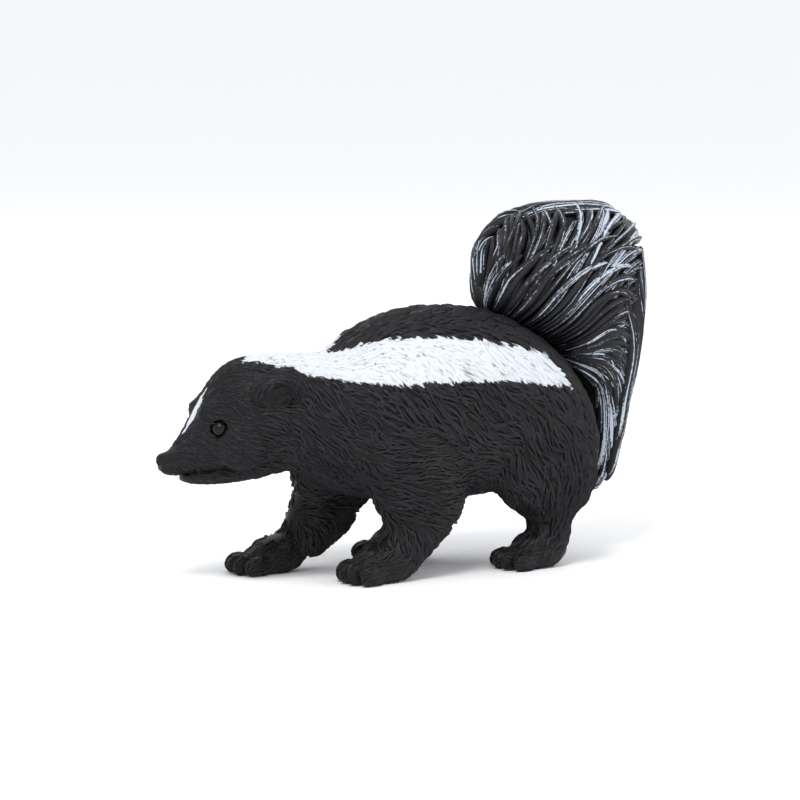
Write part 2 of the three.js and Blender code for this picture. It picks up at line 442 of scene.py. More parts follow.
    def ear(self, p: Array, side: Side) -> Array:
        """A low flap with a shallow cup carved into its outer face."""
        s = side.value
        flap = Egg((23.4, s * 7.7, 30.5), (4.2, 2, 2.8), (s * 30, 24, s * -8)).distance(p)
        cup = Egg((23.4, s * 9.5, 29.2), (2.9, 1.5, 1.5), (s * 30, 24, s * -8)).distance(p)
        return carve(flap, cup, 0.3)

    def face(self, p: Array) -> Array:
        """The straight head: skull and jaw with brows, lips, cheeks, nose, eye rims and nostrils.

        The mouth is a thin groove along the curve where the skull's distance and the jaw's are both 0.
        """
        skull, jaw = self.skull.distance(p), self.jaw.distance(p)
        mouth = np.hypot(skull, jaw) - 0.15 * smooth(p[..., 0], 29.0, 33.0)
        made = carve(merge(skull, jaw, 0.3), mouth, 0.1)
        for side in Side:
            s = side.value
            brow = Egg((32.9, s * 3.7, 27), (2.4, 1.5, 1.2), (0, 40, 0)).distance(p)
            lip = Egg((38.2, s * 1.15, 17.85), (1.9, 1.35, 1.25)).distance(p)
            cheek = Egg((28.4, s * 6, 21.5), (3.6, 2.6, 3.6)).distance(p)
            made = merge(merge(merge(made, brow, 1.1), lip, 0.5), cheek, 1.5)
            rim = Egg((EYE[0], s * (EYE[1] - 0.2), EYE[2]), (1.95, 1.25, 1.65), (0, 25, s * -25)).distance(p)
            ball = Egg((EYE[0], s * EYE[1], EYE[2]), (EYE_RADIUS + 0.02,) * 3).distance(p)
            made = carve(merge(made, rim, 0.5), ball, 0.12)
            made = merge(made, self.ear(p, side), 0.35)
        nose = Egg((39.2, 0, 18.95), (1.35, 1.5, 1.3), (0, 15, 0)).distance(p)
        made = merge(made, nose, 0.22)
        for side in Side:
            s = side.value
            nostril = Egg((40.3, s * 0.85, 18.9), (0.6, 0.36, 0.38), (0, 0, s * 20)).distance(p)
            made = carve(made, nostril, 0.1)
        return made

    def distance(self, p: Array) -> Array:
        """All the forms joined with a fillet where they meet, sunk by the depth of the carving."""
        made = merge(self.trunk.distance(p), self.face(self.into_head(p)), 2.2)
        for leg in self.legs:
            made = merge(made, leg.distance(p), 1.8)
        made = merge(made, self.plume.distance(p) + TAIL_CORE_DEPTH, 1.2)
        return np.maximum(made + SKIN_DEPTH, -p[..., 2])

    def parts(self, p: Array) -> Array:
        """For each point the Part whose form is nearest."""
        head = self.into_head(p)
        ears = np.minimum(self.ear(head, Side.LEFT), self.ear(head, Side.RIGHT))
        skull = np.minimum(self.skull.distance(head), self.jaw.distance(head))
        limbs = {Part.FRONT_LEG: [], Part.HIND_LEG: []}
        for leg in self.legs:
            side = np.array([1.0, leg.side.value, 1.0])
            limbs[leg.part].append(Bar(leg.limb, level=True).distance(p * side))
        paws = np.min([leg.paw(p) for leg in self.legs], axis=0) + np.where(p[..., 2] > 5.0, 9.0, -0.4)
        choices = [
            self.trunk.distance(p) + 0.8,
            skull,
            ears - 0.2,
            np.min(limbs[Part.FRONT_LEG], axis=0),
            np.min(limbs[Part.HIND_LEG], axis=0),
            paws,
            self.plume.distance(p) + TAIL_CORE_DEPTH,
        ]
        return np.argmin(choices, axis=0)


# The surface that a field describes


def slope(form: Callable[[Array], Array], p: Array, base: Array) -> Array:
    """How a form's distance rises along each axis, from a small step each way."""
    step = 0.02
    return np.stack([(form(p + step * np.eye(3)[k]) - base) / step for k in range(3)], axis=-1)


def settle(
    form: Callable[[Array], Array], p: Array, passes: int = 2, depth: float = 0.0
) -> tuple[Array, Array]:
    """Moves points onto the surface where the form equals minus depth, by Newton steps along its slope.

    Args:
        form: a distance, negative inside.
        p: points near the surface.
        passes: how many steps.
        depth: how far under the surface they end.

    Returns:
        The points and the outward normals there.
    """
    for _ in range(passes):
        base = form(p)
        rise = slope(form, p, base)
        size = np.maximum((rise**2).sum(axis=-1), 0.09)
        p = p - rise * np.clip((base + depth) / size, -1.0, 1.0)[..., None]
    return p, unit(slope(form, p, form(p)))


def net(form: Callable[[Array], Array], low: Array, high: Array, step: float) -> tuple[Array, Array]:
    """A closed net of quads round the inside of a form.

    Space is cut into cubes. Each cube with corners on both sides gets one vertex, and each cube edge that
    the surface crosses gets the quad of the four cubes round it, wound so that it faces out. Two rounds of
    averaging with the neighbours and settling on the surface even the net out.

    Args:
        form: a distance, negative inside.
        low: lowest corner of the space.
        high: highest corner of the space.
        step: side of a cube.

    Returns:
        The vertices and the quads.
    """
    axes = [np.arange(low[k], high[k] + step, step) for k in range(3)]
    slabs = [form(np.stack(np.meshgrid([x], *axes[1:], indexing="ij"), axis=-1))[0] < 0 for x in axes[0]]
    inside = np.stack(slabs)
    size = np.array(inside.shape) - 1
    corners = np.zeros(size, dtype=int)
    for i, j, k in np.ndindex(2, 2, 2):
        corners += inside[i : size[0] + i, j : size[1] + j, k : size[2] + k]
    mixed = (corners > 0) & (corners < 8)
    number = np.full(size, -1)
    number[mixed] = np.arange(mixed.sum())
    p = np.array(low) + (np.argwhere(mixed) + 0.5) * step
    quads = []
    for a in range(3):
        order = (a, (a + 1) % 3, (a + 2) % 3)
        side, cell = np.transpose(inside, order), np.transpose(number, order)
        first, second = side[:-1, 1:-1, 1:-1], side[1:, 1:-1, 1:-1]
        i, j, k = np.nonzero(first != second)
        quad = np.stack([cell[i, j, k], cell[i, j + 1, k], cell[i, j + 1, k + 1], cell[i, j, k + 1]], axis=1)
        outward = first[i, j, k]
        quads.append(np.where(outward[:, None], quad, quad[:, ::-1]))
    faces = np.concatenate(quads)
    tails, heads = faces.ravel(), np.roll(faces, -1, axis=1).ravel()
    p, _ = settle(form, p)
    for _ in range(2):
        total = np.stack([np.bincount(tails, p[heads, k], len(p)) for k in range(3)], axis=1)
        p = 0.4 * p + 0.6 * total / np.bincount(tails, minlength=len(p))[:, None]
        p, _ = settle(form, p)
    return p, faces


# Paint


@dataclass(frozen=True)
class Stripe:
    """The white paint: a nape patch that splits into a band along each side, and a blaze on the forehead."""

    upper: Rows = (
        (13.5, 0),
        (11.2, 9),
        (8.9, 18),
        (6.5, 26),
        (3.8, 33),
        (-0.5, 41),
        (-5.3, 45),
        (-12.1, 49),
        (-19.7, 49),
        (-21.2, 53),
        (-23.4, 63),
    )
    lower: Rows = (
        (27.5, 2),
        (26, 14),
        (22.9, 33),
        (20.6, 46),
        (16.3, 50),
        (11.9, 53),
        (6.3, 66),
        (-0.2, 71),
        (-8.7, 73),
        (-17.8, 72.6),
        (-23.4, 68),
    )
    blaze_ends: tuple[tuple[float, float], tuple[float, float]] = ((36.5, 22.9), (32.4, 30.2))
    blaze_half: float = 1.25
    blaze_out: float = 0.45

    def white(self, figure: Figure, p: Array) -> Array:
        """Millimetres inside the paint's edge, negative outside it.

        On the trunk a point has an angle from the top of its section, and the band lies between an upper and
        a lower angle at each x. On the forehead the blaze is a spindle along the middle.
        """
        sections = figure.trunk.sections()
        middle, half, deep = (np.interp(p[:, 0], sections[:, 0], sections[:, k]) for k in (2, 3, 4))
        angle = np.degrees(np.arctan2(np.abs(p[:, 1]) / half, (p[:, 2] - middle) / deep))
        arc = np.radians(1.0) * (half + deep) / 2
        edges = [np.array(rows, dtype=float)[::-1] for rows in (self.upper, self.lower)]
        upper, lower = (np.interp(p[:, 0], rows[:, 0], rows[:, 1]) for rows in edges)
        upper = np.where(p[:, 0] > self.upper[0][0], -20.0, upper)
        band = np.minimum((angle - upper) * arc, (lower - angle) * arc)
        band = np.minimum(band, np.minimum(27.6 - p[:, 0], p[:, 0] + 23.8))
        head = figure.into_head(p)
        (x0, z0), (x1, z1) = self.blaze_ends
        t = np.clip((x0 - head[:, 0]) / (x0 - x1), 0.0, 1.0)
        wide = self.blaze_half * np.sin(np.pi * t) ** 1.3
        off = np.abs(head[:, 1] - self.blaze_out)
        blaze = np.where(head[:, 2] > z0 + (z1 - z0) * t - 3.0, wide - off, -3.0)
        return np.maximum(band, np.where((head[:, 0] > x1) & (head[:, 0] < x0), blaze, -3.0))


@dataclass(frozen=True)
class Lie:
    """The way in which the carved hair runs over the figure."""

    wave: float = 0.3

    def directions(self, figure: Figure, p: Array, normals: Array) -> Array:
        """The lie at points of the skin, along the surface.

        Each part has its own direction. The trunk's and the haunch's turn steadily with height and x, and a
        slow wave swings them all to either side.
        """
        part = figure.parts(p)
        x, y, z = p[:, 0], p[:, 1], p[:, 2]
        outward = np.sign(y) * np.abs(normals[:, 1])
        side = np.abs(normals[:, 1])
        ones = np.ones_like(x)
        down = smooth(side, 0.25, 0.8) * smooth(z, 16.0, 24.0)
        trunk = np.stack([-ones, 0.1 * outward, -0.8 * down - 0.15], axis=1)
        haunch = smooth(-x, 11.0, 20.0) * smooth(-z, -31.0, -22.0)
        knee = smooth(-z, -17.0, -9.0)
        down_leg = np.stack([-0.45 + 0.9 * knee * smooth(-x, 12.0, 26.0), 0 * x, -ones], axis=1)
        trunk = trunk * (1 - haunch)[:, None] + down_leg * haunch[:, None]
        chest = smooth(x, 13.0, 19.0) * smooth(-z, -24.0, -16.0)
        trunk = trunk * (1 - chest)[:, None] + np.array([-0.25, 0.0, -1.0]) * chest[:, None]
        upper = smooth(z, 6.5, 9.5)
        fore = np.stack([-0.25 - 0.75 * upper, 0 * x, -1.0 + 0.9 * upper], axis=1)
        turned = turn_about(2, HEAD_TURN).T
        head = np.stack([-ones, 0.25 * outward, -0.18 - 0.3 * side], axis=1) @ turned
        straight = figure.into_head(p)
        ear = np.stack([28.4 - straight[:, 2], 0 * x, straight[:, 0] - 23.4], axis=1) @ turned
        paw = np.stack([ones, 0 * x, -0.35 * ones], axis=1)
        choices = [trunk, head, ear, fore, down_leg, paw, trunk]
        made = np.choose(part[:, None], choices)
        made = unit(made - (made * normals).sum(axis=1, keepdims=True) * normals)
        swing = np.sin(0.55 * x + 0.35 * z + 0.4 * y) + np.sin(0.9 * z - 0.5 * x + 1.3)
        swing = swing + np.sin(1.6 * x + 1.1 * y)
        across = np.cross(normals, made)
        return unit(made + self.wave * 0.5 * swing[:, None] * across)


# Meshes


@dataclass
class Workshop:
    """Puts meshes into the scene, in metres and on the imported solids."""

    shift: Array = field(default_factory=lambda: np.zeros(3))

    def __post_init__(self) -> None:
        """Finds the shift from the eye, which is a ball in both frames."""
        low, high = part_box("eye_left")
        packed = (np.array(low) + np.array(high)) * 500.0
        self.shift = packed - Figure().from_head(np.array([EYE]))[0]

    def metres(self, p: Array) -> Array:
        """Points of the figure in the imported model's frame."""
        return (p + self.shift) * 0.001

    def put(
        self, name: str, p: Array, faces: Faces, finish: bpy.types.Material
    ) -> bpy.types.Object:
        """Makes one smooth piece that rides on the figure, with nothing under the floor.

        Args:
            name: the piece's name.
            p: vertices in millimetres.
            faces: the vertices of each face, anticlockwise when seen from outside.
            finish: its material.

        Returns:
            The new object.
        """
        mesh = bpy.data.meshes.new(name)
        p = np.stack([p[:, 0], p[:, 1], np.maximum(p[:, 2], 0.0)], axis=1)
        mesh.from_pydata(self.metres(p), [], faces)
        mesh.polygons.foreach_set("use_smooth", np.ones(len(faces), dtype=bool))
        mesh.materials.append(finish)
        mesh.update()
        piece = bpy.data.objects.new(name, mesh)
        bpy.context.scene.collection.objects.link(piece)
        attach(piece, "root")
        log.info("%s: %d faces", name, len(faces))
        return piece

    def note(self, piece: bpy.types.Object, name: str, values: Array) -> None:
        """Keeps one number a vertex on the piece, for its finish to read."""
        piece.data.attributes.new(name, "FLOAT", "POINT").data.foreach_set("value", values.astype(np.float32))


# Points round the sections of a tuft and of a strand

TUFT_SECTION = ((1.0, -0.35), (0.0, 1.0), (-1.0, -0.35), (0.0, -0.8))
STRAND_SECTION = ((1.0, -0.5), (0.72, 0.55), (0.0, 1.0), (-0.72, 0.55), (-1.0, -0.5), (0.0, -1.1))


def ridges(
    lines: Array, normals: Array, half: Array, high: Array, shape: Array, section: Rows
) -> tuple[Array, Faces]:
    """Closed ridges that run along lines over the skin.

    The section's points are pairs: one times the half width across the line, and one times the height along
    the normal, those over it also times the shape, so that a ridge starts sunk, swells and runs out.

    Args:
        lines: places, by ridge and station.
        normals: outward normals at those places.
        half: half width of each ridge.
        high: height of each crest.
        shape: share of the width and of the height at each station.
        section: the points of the section, anticlockwise when seen from the end.

    Returns:
        The vertices and the quads, with one more face at each end.
    """
    count, stations = lines.shape[:2]
    sides = len(section)
    ahead = unit(np.gradient(lines, axis=1))
    across = unit(np.cross(normals, ahead))
    ring = []
    for out, up in section:
        width = out * half[:, None] * shape[None, :, 0]
        height = up * high[:, None] * (shape[None, :, 1] if up > 0 else 1.0)
        ring.append(lines + across * width[..., None] + normals * height[..., None])
    first = (np.arange(count) * stations * sides)[:, None, None]
    station = (np.arange(stations - 1) * sides)[None, :, None]
    side = np.arange(sides)[None, None, :]
    a = first + station + side
    b = first + station + (side + 1) % sides
    walls = np.stack([a, a + sides, b + sides, b], axis=-1).reshape(-1, 4)
    ends = np.arange(sides)[None, :]
    start = (first[:, 0] + ends).tolist()
    end = (first[:, 0] + (stations - 1) * sides + ends[:, ::-1]).tolist()
    return np.stack(ring, axis=2).reshape(-1, 3), walls.tolist() + start + end


class Kind(Enum):
    """The kinds of carved tuft, by their place among the carvings."""

    FACE = 0
    NECK = 1
    BACK = 2
    HAUNCH = 3
    LEGS = 4
    PAWS = 5


@dataclass(frozen=True)
class Carving:
    """One kind of carved tuft: how far apart, how long, how wide and how high, in millimetres."""

    name: str
    spacing: float
    length: float
    half: float
    high: float


CARVINGS = (
    Carving("face", 0.64, 1.9, 0.21, 0.15),
    Carving("neck", 0.92, 3.0, 0.37, 0.31),
    Carving("back", 1.12, 3.7, 0.49, 0.43),
    Carving("haunch", 1.14, 4.5, 0.48, 0.52),
    Carving("legs", 0.98, 3.4, 0.4, 0.38),
    Carving("paws", 0.8, 1.4, 0.23, 0.09),
)


@dataclass(frozen=True)
class Layer:
    """One layer of the tail's strands: how many, where they start and end, how that end varies, how far they
    curl over, their half width and height, and how far they are lifted off the plume, all in millimetres but
    for the fan's starts and ends, which are shares of the way from the root to the rim, and the curl."""

    count: int
    start: float
    end: float
    spread: float
    curl: float
    half: float
    high: float
    lift: float


LAYERS = (
    Layer(64, 0.04, 1.0, 0.03, 0.0, 0.7, 0.9, -0.5),
    Layer(64, 0.35, 0.95, 0.07, 0.12, 0.6, 0.9, -0.2),
    Layer(44, 0.08, 0.74, 0.13, 0.3, 0.68, 0.95, 0.0),
)

# Strands that hang down the back edge of each side, from one height to another
HANGING = Layer(17, 49.0, 16.0, 5.0, 0.0, 0.86, 1.0, 0.5)

# Strands that run back over the crown, from one place along X to another
CROWN = Layer(11, -19.5, -38.0, 1.5, 0.0, 0.7, 0.8, -0.5)


def between(begin: Array, end: Array, station: Array) -> Array:
    """Each strand's way from its beginning to its end, by strand and station."""
    return begin[:, None] + (end - begin)[:, None] * station[None, :]


@dataclass(frozen=True)
class Fan:
    """The lines of the tail's strands. On each side they fan out from the rump, as in a fountain, and bend
    over towards the back and the tip. Angles are in degrees from up towards the back."""

    root_front: tuple[float, float] = (-15.5, 36.0)
    root_back: tuple[float, float] = (-25.5, 32.0)
    first: tuple[float, float] = (-1.0, 2.0)
    last: tuple[float, float] = (112.0, 158.0)
    bend: float = 1.7

    def reach(self, sections: Array, x: Array, z: Array, angle: Array) -> Array:
        """How far the plume reaches from a root at an angle: the longest of many lengths whose end is within
        the section at its height."""
        length = np.linspace(0.05, 36.0, 720)
        at_x = x[..., None] - np.sin(angle)[..., None] * length
        at_z = z[..., None] + np.cos(angle)[..., None] * length
        middle, deep = (np.interp(at_z, sections[:, 0], sections[:, k]) for k in (1, 3))
        inside = (np.abs(at_x - middle) < deep) & (at_z > sections[0, 0]) & (at_z < sections[-1, 0])
        return (inside * length).max(axis=-1)

    def place(self, sections: Array, share: Array, z: Array, side: Side) -> Array:
        """Places on the oval sections at their heights. The share s of the half depth becomes the angle
        s + 0.571 s cubed round the oval, so that strands near the front and back edges run along them."""
        middle, deep, wide = (np.interp(z, sections[:, 0], sections[:, k]) for k in (1, 3, 4))
        out = np.clip(share, -1.0, 1.0)
        around = out + (0.5 * np.pi - 1.0) * out**3
        return np.stack([middle + deep * np.sin(around), side.value * wide * np.cos(around), z], axis=-1)

    def lines(self, plume: Bar, share: Array, run: Array, curl: Array, side: Side) -> Array:
        """Places on the plume's form.

        A strand's angle goes from its start to its end with the run to the power of the bend, and its length
        with the run.

        Args:
            plume: the tail's form.
            share: place of each strand in the fan, from 0 to 1.
            run: for each strand the way from the root, 0, to the rim, 1, at each station.
            curl: extra turn at the stations, in radians.
            side: the side of the tail.

        Returns:
            The places, by strand and station.
        """
        sections = plume.sections()
        begin = self.first[0] + (self.last[0] - self.first[0]) * share
        finish = self.first[1] + (self.last[1] - self.first[1]) * share
        angle = np.radians(begin[:, None] + (finish - begin)[:, None] * run**self.bend) + curl
        back = smooth(share, 0.0, 0.5)[:, None] + 0 * run
        x0 = self.root_front[0] + (self.root_back[0] - self.root_front[0]) * back
        z0 = self.root_front[1] + (self.root_back[1] - self.root_front[1]) * back
        length = run * self.reach(sections, x0, z0, angle)
        x, z = x0 - length * np.sin(angle), z0 + length * np.cos(angle)
        middle, deep = (np.interp(z, sections[:, 0], sections[:, k]) for k in (1, 3))
        return self.place(sections, (x - middle) / deep, z, side)


@dataclass
class Coat:
    """The carved tufts over the body and the strands of the tail."""

    figure: Figure
    lie: Lie
    stripe: Stripe
    stations: int = 6
    most: int = 4200
    bare: float = 1.9
    nose: float = 38.2
    sole: float = 0.35

    def kind(self, p: Array) -> Array:
        """For each point of the skin the number of its carving, or -1 where the skin stays bare."""
        part = self.figure.parts(p)
        x, z = p[:, 0], p[:, 2]
        head = self.figure.into_head(p)
        made = np.full(len(p), Kind.BACK.value)
        made[x > 11.0] = Kind.NECK.value
        made[(x < -12.0) & (z < 28.0)] = Kind.HAUNCH.value
        made[part == Part.FRONT_LEG.value] = Kind.LEGS.value
        made[(part == Part.HIND_LEG.value) & (z < 12.0)] = Kind.LEGS.value
        made[part == Part.HEAD.value] = Kind.NECK.value
        made[(part == Part.HEAD.value) & (head[:, 0] > 26.5)] = Kind.FACE.value
        made[part == Part.EAR.value] = Kind.FACE.value
        made[part == Part.PAW.value] = Kind.PAWS.value
        nose = head[:, 0] > self.nose
        eye = np.linalg.norm(np.abs(head) - np.array(EYE), axis=1) < self.bare
        cup = np.linalg.norm(np.abs(head) - np.array(EAR_CUP), axis=1) < self.bare
        sole = z < self.sole
        made[nose | eye | cup | sole | (part == Part.TAIL.value)] = -1
        return made

    def roots(self, p: Array, spacing: float, draw: np.random.Generator) -> Array:
        """Picks one point in each cube of space of the given size, the first in a shuffled order."""
        order = draw.permutation(len(p))
        cubes = np.floor(p[order] / spacing).astype(int)
        _, first = np.unique(cubes, axis=0, return_index=True)
        return p[order[first]]

    def trace(self, start: Array, length: Array, swerve: Array) -> tuple[Array, Array]:
        """Lines that follow the lie over the skin from their starts.

        Args:
            start: a place for each line.
            length: each line's length.
            swerve: how far each line turns off the lie, in radians.

        Returns:
            The places and the normals, by line and station.
        """
        form = self.figure.distance
        p, n = settle(form, start, 1)
        places, normals = [p], [n]
        for _ in range(self.stations - 1):
            ahead = self.lie.directions(self.figure, p, n)
            ahead = ahead * np.cos(swerve)[:, None] + np.cross(n, ahead) * np.sin(swerve)[:, None]
            p, n = settle(form, p + ahead * (length / (self.stations - 1))[:, None], 1)
            places.append(p)
            normals.append(n)
        return np.stack(places, axis=1), np.stack(normals, axis=1)

    def unwrap(self, roots: Array) -> Array:
        """Where a root lies on the skin's own unwrap: a strip for each part, with the angle round the part
        across it and the place along the part up it."""
        part = self.figure.parts(roots)
        centre, middle, height = np.array(PART_AXES)[part].T
        upright = np.isin(part, (Part.FRONT_LEG.value, Part.HIND_LEG.value, Part.TAIL.value))
        side = np.sign(roots[:, 1])
        across = roots[:, 1] - side * middle
        around = np.where(upright, roots[:, 0] - centre, roots[:, 2] - height)
        angle = (np.arctan2(across, around) / (2 * np.pi) + 0.5) * 0.96 + 0.02
        along = np.where(upright, roots[:, 2] / 60.0, (roots[:, 0] + 45.0) / 90.0)
        strip = part + np.where(upright & (side < 0) & (part != Part.TAIL.value), 4, 0)
        return np.stack([(strip + angle) / 9.0, np.clip(along, 0.0, 1.0) * 0.96 + 0.02], axis=1)

    def dress(
        self, shop: Workshop, piece: bpy.types.Object, lines: Array, own: Array, section: Rows
    ) -> None:
        """Gives a piece of ridges its paint, its crests and a map where each ridge is one small patch.

        The paint's edge is moved by each ridge's own number, so that it runs in strokes along the ridges, and
        less so on the nape.

        Args:
            shop: the workshop.
            piece: the ridges' object.
            lines: places, by ridge and station.
            own: a number from 0 to 1 for each ridge.
            section: the points of the ridges' section.
        """
        count, stations = lines.shape[:2]
        sides = len(section)
        flat = lines.reshape(-1, 3)
        strokes = (own.repeat(stations) - 0.5) * (0.5 - 0.3 * smooth(flat[:, 0], 4.0, 14.0))
        shop.note(piece, "white", (self.stripe.white(self.figure, flat) + strokes).repeat(sides))
        crest = np.tile(np.array([max(up, 0.0) for _, up in section]), count * stations)
        across = np.tile(np.array([out for out, _ in section]), count * stations)
        run = np.tile(np.linspace(0.0, 1.0, stations), count).repeat(sides)
        shop.note(piece, "crest", crest)
        shop.note(piece, "across", across)
        shop.note(piece, "brush", brushing(flat).repeat(sides))
        shop.note(piece, "own", own.repeat(stations * sides))
        shop.note(piece, "run", run)
        spots = self.unwrap(lines[:, 0]).repeat(stations * sides, axis=0)
        spots = spots + PATCH_HALF * np.stack([across, 2.0 * run - 1.0], axis=1)
        layer = piece.data.uv_layers.new(name="OFBake")
        corners = np.empty(len(piece.data.loops), dtype=np.int32)
        piece.data.loops.foreach_get("vertex_index", corners)
        layer.data.foreach_set("uv", spots[corners].astype(np.float32).ravel())

    def tufts(self, shop: Workshop, skin: Array, finish: bpy.types.Material) -> None:
        """Lays tufts of each kind over the skin, in pieces of a size that the export keeps whole."""
        draw = np.random.default_rng(SEED)
        kinds = self.kind(skin)
        wide = np.array([0.45, 0.85, 1.0, 0.92, 0.62, 0.12])
        high = np.array([-0.2, 0.7, 1.0, 0.95, 0.6, -0.1])
        shape = np.stack([wide, high], axis=1)
        for number, carving in enumerate(CARVINGS):
            start = self.roots(skin[kinds == number], carving.spacing, draw)
            start = start[np.argsort(start[:, 0])]
            size = draw.uniform(0.62, 1.4, (3, len(start)))
            swerve = draw.normal(0.0, 0.22, len(start))
            own = draw.random(len(start))
            lines, normals = self.trace(start, carving.length * size[0], swerve)
            white = self.stripe.white(self.figure, lines[:, 2])
            height = carving.high * size[2] * np.where(white > 0.0, 0.4, 1.0)
            pieces = -(-len(start) // self.most)
            for k, part in enumerate(np.array_split(np.arange(len(start)), pieces)):
                half = carving.half * size[1][part]
                p, faces = ridges(lines[part], normals[part], half, height[part], shape, TUFT_SECTION)
                piece = shop.put(f"coat_{carving.name}_{k}", p, faces, finish)
                self.dress(shop, piece, lines[part], own[part], TUFT_SECTION)

    def strands(self, shop: Workshop, finish: bpy.types.Material) -> None:
        """Lays the tail's strands: fans on each side, hanging ones down the back, and a crown on top.

        The width grows over the first part of a strand and closes as a quarter circle in its last tenth.
        """
        draw = np.random.default_rng(SEED + 1)
        station = np.concatenate([np.linspace(0.0, 0.86, 12), [0.91, 0.95, 0.975, 0.99, 1.0]])
        close = np.sqrt(np.clip(1.0 - ((station - 0.9) / 0.1).clip(0.0) ** 2, 0.03, 1.0))
        wide = (0.25 + 0.75 * smooth(station, 0.0, 0.4)) * close
        high = (0.2 + 0.8 * smooth(station, 0.0, 0.3)) * close
        shape = np.stack([wide, high], axis=1)
        for number, layer in enumerate(LAYERS):
            for side in Side:
                name = f"tail_strands_{side.name.lower()}_{number}"
                raw = self.fanned(layer, side, station, draw)
                self.lay(shop, finish, name, raw, layer, shape, draw)
        for side in Side:
            name = f"tail_hanging_{side.name.lower()}"
            raw = self.hanging(HANGING, side, station, draw)
            self.lay(shop, finish, name, raw, HANGING, shape, draw)
        raw = self.crowning(CROWN, station, draw)
        self.lay(shop, finish, "tail_crown", raw, CROWN, shape, draw)

    def fanned(self, layer: Layer, side: Side, station: Array, draw: np.random.Generator) -> Array:
        """Lines of one layer of the fan, each with a slow wave of its own and a curl that grows with the
        fourth power of the way to its end."""
        n = layer.count
        share = (np.arange(n) + 0.5 + draw.uniform(-0.4, 0.4, n)) / n
        end = layer.end + layer.spread * draw.uniform(-1.0, 1.0, n)
        begin = layer.start * draw.uniform(0.8, 1.2, n)
        run = between(begin, end, station)
        wave = 0.025 * np.sin(9.0 * run + 6.3 * draw.random((n, 1))) * smooth(run, 0.1, 0.6)
        curl = wave + layer.curl * station[None, :] ** 4 * draw.uniform(0.3, 1.3, (n, 1))
        return Fan().lines(self.figure.plume, share, run, curl, side)

    def hanging(self, layer: Layer, side: Side, station: Array, draw: np.random.Generator) -> Array:
        """Lines down the back edge, each at a steady share of the half depth but for a wave that all have in
        common; those nearer the side start lower."""
        n = layer.count
        share = (np.arange(n) + draw.uniform(0.2, 0.8, n)) / n
        begin = layer.start - 7.0 * share + layer.spread * draw.uniform(-0.4, 0.4, n)
        end = layer.end + layer.spread * draw.uniform(-1.0, 1.0, n)
        z = between(begin, end, station)
        wave = 0.035 * np.sin(0.4 * z + 2.5 * share[:, None] + side.value)
        out = 0.56 * share[:, None] - 0.98 + wave
        return Fan().place(self.figure.plume.sections(), out, z, side)

    def crowning(self, layer: Layer, station: Array, draw: np.random.Generator) -> Array:
        """Lines from front to back over the plume's top, side by side and a little apart in the middle."""
        n = layer.count
        begin = layer.start + layer.spread * draw.uniform(-1.0, 1.0, n)
        end = layer.end + layer.spread * draw.uniform(-1.0, 1.0, n)
        x = between(begin, end, station)
        y = np.linspace(-CROWN_HALF, CROWN_HALF, n)[:, None] * (0.8 + 0.2 * np.sin(3.1 * station[None, :]))
        return np.stack([x, y, CROWN_TOP + 0.0 * x], axis=-1)

    def lay(
        self,
        shop: Workshop,
        finish: bpy.types.Material,
        name: str,
        raw: Array,
        layer: Layer,
        shape: Array,
        draw: np.random.Generator,
    ) -> None:
        """Settles one layer's lines on the plume and puts its strands in.

        Args:
            shop: the workshop.
            finish: the strands' material.
            name: the piece's name.
            raw: places near the plume, by strand and station.
            layer: the layer's sizes.
            shape: share of the width and of the height at each station.
            draw: where the strands' own sizes come from.
        """
        n = len(raw)
        p, normals = settle(self.figure.plume.distance, raw.reshape(-1, 3), 3, -layer.lift)
        lines, normals = p.reshape(n, -1, 3), normals.reshape(n, -1, 3)
        size = draw.uniform(0.8, 1.2, (2, n))
        p, faces = ridges(lines, normals, layer.half * size[0], layer.high * size[1], shape, STRAND_SECTION)
        piece = shop.put(name, p, faces, finish)
        self.dress(shop, piece, lines, draw.random(n), STRAND_SECTION)


def brushing(p: Array) -> Array:
    """How much white the dry brush left on the tail: most on its upper back and its tip, little near the
    root and the front."""
    made = np.full(len(p), BRUSH_LEAST)
    ways = ((-p[:, 0], BRUSH_BACK), (p[:, 2], BRUSH_TOP), (-p[:, 2], BRUSH_HANGING))
    for places, (most, low, high) in ways:
        made = made + most * smooth(places, low, high)
    return np.clip(made, 0.0, 1.0)


# Finishes


class Sum:
    """A number that a material works out, with the sums on it written as plain arithmetic."""

    def __init__(self, tree: "Shader", socket: bpy.types.NodeSocket) -> None:
        """Keeps the socket and the tree that it is in."""
        self.tree = tree
        self.socket = socket

    def _with(self, operation: str, *values: Value, clamp: bool = False) -> "Sum":
        """A Math node on this value and others."""
        return self.tree.maths(operation, self, *values, clamp=clamp)

    def __add__(self, other: Value) -> "Sum":
        """This plus the other."""
        return self._with("ADD", other)

    __radd__ = __add__

    def __sub__(self, other: Value) -> "Sum":
        """This minus the other."""
        return self._with("SUBTRACT", other)

    def __rsub__(self, other: Value) -> "Sum":
        """The other minus this."""
        return self.tree.maths("SUBTRACT", other, self)

    def __mul__(self, other: Value) -> "Sum":
        """This times the other."""
        return self._with("MULTIPLY", other)

    __rmul__ = __mul__

    def held(self) -> "Sum":
        """This kept from 0 to 1."""
        return self._with("ADD", 0.0, clamp=True)


